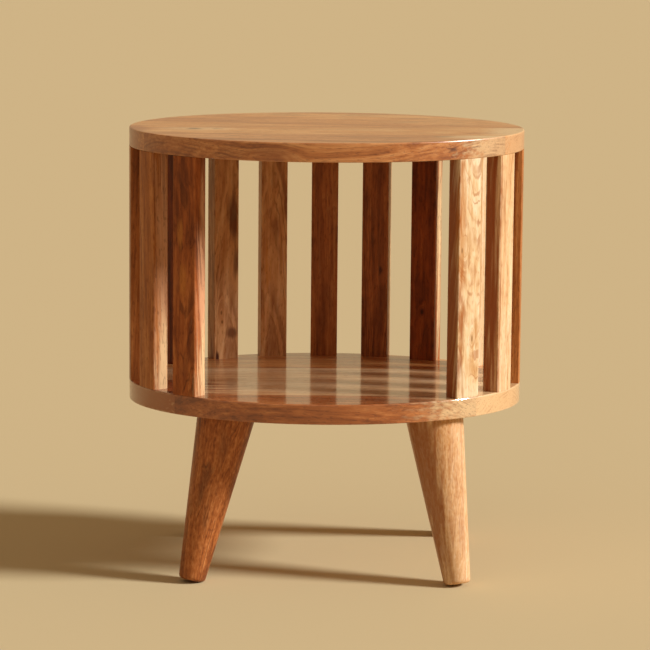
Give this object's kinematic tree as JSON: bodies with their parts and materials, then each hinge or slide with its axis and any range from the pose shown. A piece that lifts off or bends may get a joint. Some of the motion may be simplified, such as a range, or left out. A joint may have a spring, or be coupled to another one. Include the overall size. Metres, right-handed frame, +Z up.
{
  "type": "nightstand",
  "caption": "Oval bedside table in solid wood: upright slats with an open front between two oval slabs, on splayed, tapered legs.",
  "frame": {"origin": "on the floor, under the common centre of the top and the shelf", "axes": "+Z up, the open front faces -Y, +X to the right seen from the front"},
  "size_m": [0.4, 0.3, 0.448],
  "materials": {
    "top_wood": "clear satin lacquer",
    "shelf_wood": "clear semi-gloss lacquer",
    "slat_wood": "clear satin lacquer",
    "leg_wood": "clear satin lacquer",
    "dowel_wood": "bare, glued in",
    "fastener_steel": "zinc plated"
  },
  "bodies": {
    "root": {"top_board_1": "top_wood", "top_board_2": "top_wood", "top_board_3": "top_wood", "top_board_4": "top_wood", "shelf_board_1": "shelf_wood", "shelf_board_2": "shelf_wood", "shelf_board_3": "shelf_wood", "shelf_board_4": "shelf_wood", "slat_01": "slat_wood", "slat_02": "slat_wood", "slat_03": "slat_wood", "slat_04": "slat_wood", "slat_05": "slat_wood", "slat_06": "slat_wood", "slat_07": "slat_wood", "slat_08": "slat_wood", "slat_09": "slat_wood", "slat_10": "slat_wood", "slat_11": "slat_wood", "slat_12": "slat_wood", "slat_13": "slat_wood", "slat_14": "slat_wood", "slat_15": "slat_wood", "slat_dowels_top": "dowel_wood", "slat_dowels_bottom": "dowel_wood", "leg_front_left": "leg_wood", "leg_front_right": "leg_wood", "leg_rear_left": "leg_wood", "leg_rear_right": "leg_wood", "leg_inserts": "fastener_steel", "hanger_bolts": "fastener_steel"}
  },
  "joints": []
}
